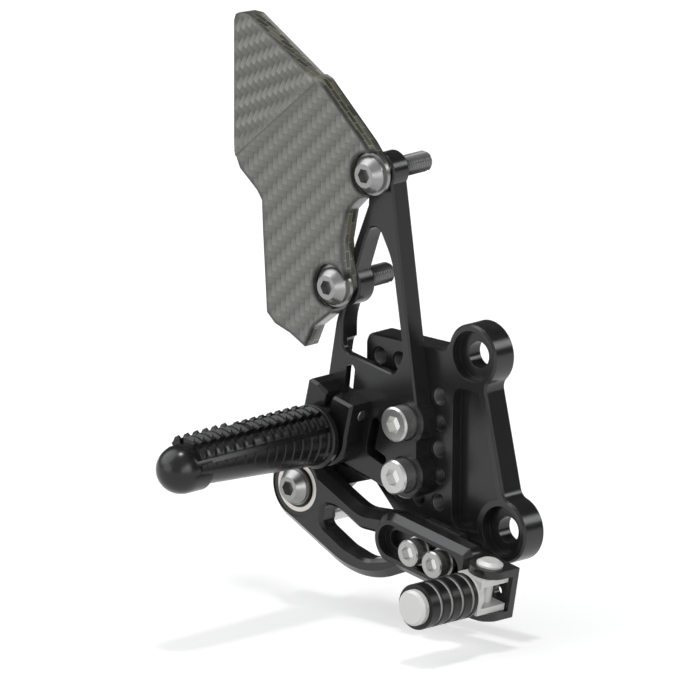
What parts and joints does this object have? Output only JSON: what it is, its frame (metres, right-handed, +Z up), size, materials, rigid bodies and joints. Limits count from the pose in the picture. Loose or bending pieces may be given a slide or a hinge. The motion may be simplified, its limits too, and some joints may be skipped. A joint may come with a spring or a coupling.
{
  "type": "motorcycle rear set footrest",
  "caption": "Brake-side rear set: drilled mount plate, A-frame hanger with folding footpeg, carbon heel guard and pivoting brake pedal with a folding toe peg.",
  "frame": {"origin": "centre of the upper frame bolt's bore on the flat mounting face", "axes": "+X forward along the motorcycle, +Y inboard into the frame, +Z up"},
  "size_m": [0.1489, 0.1203, 0.2033],
  "materials": {
    "anodised_plate": "black anodised, machined",
    "steel": "plain stainless steel",
    "silver": "silver anodised",
    "black_rubber": "matt black",
    "carbon": "clear-coated twill carbon fibre"
  },
  "bodies": {
    "hanger": {"mount_plate": "anodised_plate", "peg_bracket": "anodised_plate", "bracket_bolts": "steel", "peg_clevis": "anodised_plate", "clevis_bolt": "steel", "footpeg_pin": "steel", "bearing_inner_race": "steel", "pedal_spacer": "silver", "pedal_washer": "steel", "pedal_bolt": "steel", "heel_guard": "carbon", "guard_washers": "steel", "guard_bolts": "steel"},
    "peg": {"footpeg": "anodised_plate"},
    "pedal": {"brake_pedal": "anodised_plate", "bearing_outer_race": "steel", "bearing_shield": "black_rubber", "pushrod_stud": "steel", "toe_holder": "anodised_plate", "toe_washers": "steel", "toe_bolts": "steel", "toe_nuts": "steel", "toe_pin": "silver"},
    "toe": {"toe_peg": "silver", "toe_rubber": "black_rubber", "toe_end_cap": "silver"}
  },
  "joints": [
    {"name": "footpeg_fold", "type": "hinge", "parent": "hanger", "child": "peg", "pos_m": [-0.05473, -0.02175, -0.02588], "axis": [0.9744, 0, -0.225], "range_deg": [-50, 0]},
    {"name": "pedal_pivot", "type": "hinge", "parent": "hanger", "child": "pedal", "pos_m": [-0.0714, -0.02, -0.0593], "axis": [0, 1, 0], "range_deg": [0, 10]},
    {"name": "toe_fold", "type": "hinge", "parent": "pedal", "child": "toe", "pos_m": [0.02267, -0.0252, -0.08112], "axis": [0.1788, 0, 0.9839], "range_deg": [-30, 0]}
  ]
}
